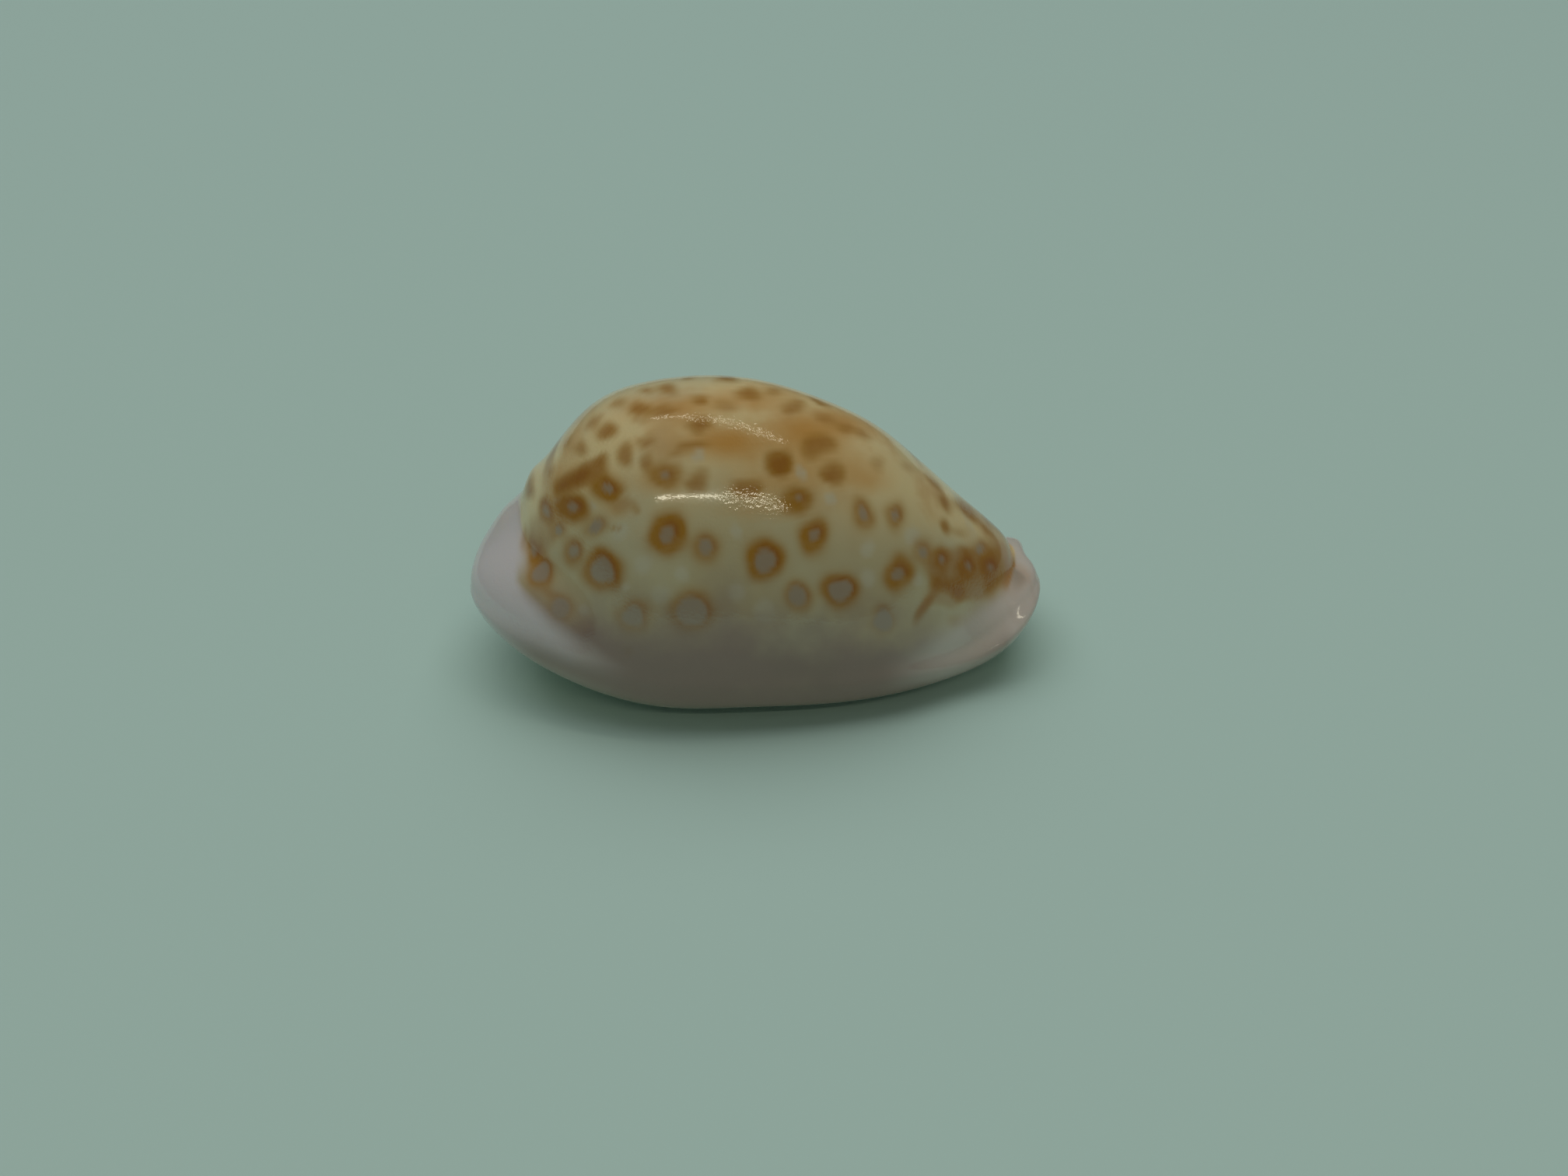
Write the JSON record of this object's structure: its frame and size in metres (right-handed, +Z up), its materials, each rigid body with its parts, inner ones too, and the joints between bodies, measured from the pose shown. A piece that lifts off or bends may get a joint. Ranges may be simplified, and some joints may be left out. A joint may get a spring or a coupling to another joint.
{
  "type": "white-spotted cowrie shell",
  "caption": "Glossy egg-shaped sea shell with a toothed slot along its flat underside, lying on its lips.",
  "frame": {"origin": "middle of the shell's box, on the surface that its lips rest on", "axes": "+X along the shell to its narrow front end, +Z up over the humped back, the outer lip on the -Y side"},
  "size_m": [0.024, 0.013, 0.0125],
  "materials": {
    "shell": "gloss"
  },
  "bodies": {
    "root": {"shell": "shell"}
  },
  "joints": []
}
